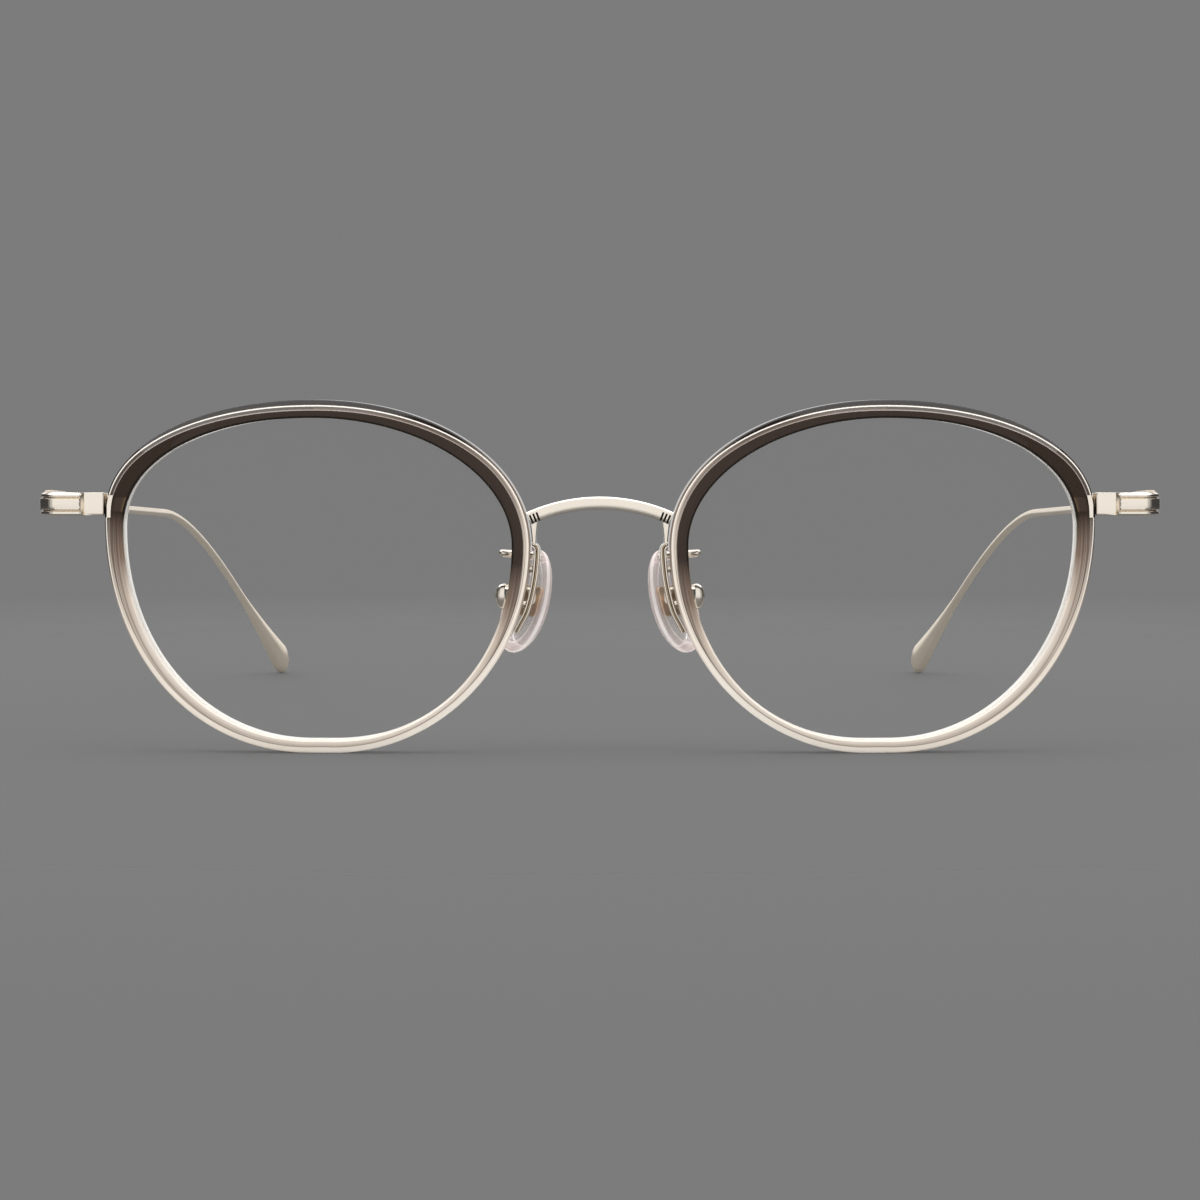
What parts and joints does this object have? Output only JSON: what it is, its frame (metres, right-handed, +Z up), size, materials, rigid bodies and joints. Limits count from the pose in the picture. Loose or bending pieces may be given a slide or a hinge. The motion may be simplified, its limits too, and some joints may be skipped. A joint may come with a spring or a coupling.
{
  "type": "round eyeglasses",
  "caption": "Round eyeglasses with translucent acetate rims, an arched metal bridge, rocking nose pads and folding wire temples with flat tips.",
  "frame": {"origin": "on the table under the middle of the open glasses: half way across the width and half way from the lenses to the temple tips", "axes": "+Z up, +Y from the lenses back along the temples, +X to the right as seen from the front"},
  "size_m": [0.1414, 0.1434, 0.0443],
  "materials": {
    "acetate": "polished translucent acetate, grey-brown above fading to clear champagne below",
    "lens": "clear coated plastic lens",
    "polished_metal": "polished champagne gold plate on titanium",
    "satin_metal": "satin champagne gold plate on titanium",
    "silicone": "clear silicone with a faint pink tint",
    "washer": "natural nylon"
  },
  "bodies": {
    "front": {"bridge": "polished_metal", "rim_left": "acetate", "lens_left": "lens", "nose_bracket_left": "polished_metal", "bracket_pin_upper_left": "polished_metal", "bracket_pin_lower_left": "polished_metal", "pad_arm_left": "polished_metal", "pad_screw_left": "polished_metal", "end_piece_left": "polished_metal", "hinge_leaf_front_left": "polished_metal", "hinge_washer_upper_left": "washer", "hinge_washer_lower_left": "washer", "hinge_screw_left": "polished_metal", "rim_right": "acetate", "lens_right": "lens", "nose_bracket_right": "polished_metal", "bracket_pin_upper_right": "polished_metal", "bracket_pin_lower_right": "polished_metal", "pad_arm_right": "polished_metal", "pad_screw_right": "polished_metal", "end_piece_right": "polished_metal", "hinge_leaf_front_right": "polished_metal", "hinge_washer_upper_right": "washer", "hinge_washer_lower_right": "washer", "hinge_screw_right": "polished_metal"},
    "temple_left": {"temple_left": "satin_metal", "hinge_leaf_temple_left": "polished_metal"},
    "pad_left": {"nose_pad_left": "silicone", "pad_insert_left": "polished_metal"},
    "temple_right": {"temple_right": "satin_metal", "hinge_leaf_temple_right": "polished_metal"},
    "pad_right": {"nose_pad_right": "silicone", "pad_insert_right": "polished_metal"}
  },
  "joints": [
    {"name": "temple_left_fold", "type": "hinge", "parent": "front", "child": "temple_left", "pos_m": [-0.06827, -0.06131, 0.03118], "axis": [0, 0, -1], "range_deg": [0, 80]},
    {"name": "temple_right_fold", "type": "hinge", "parent": "front", "child": "temple_right", "pos_m": [0.06827, -0.06131, 0.03118], "axis": [0, 0, 1], "range_deg": [0, 83]},
    {"name": "pad_left_rock", "type": "hinge", "parent": "front", "child": "pad_left", "pos_m": [-0.01083, -0.06366, 0.0193], "axis": [-0.5592, 0.829, 0], "range_deg": [-8, 8]},
    {"name": "pad_right_rock", "type": "hinge", "parent": "front", "child": "pad_right", "pos_m": [0.01083, -0.06366, 0.0193], "axis": [0.5592, 0.829, 0], "range_deg": [-8, 8]}
  ]
}
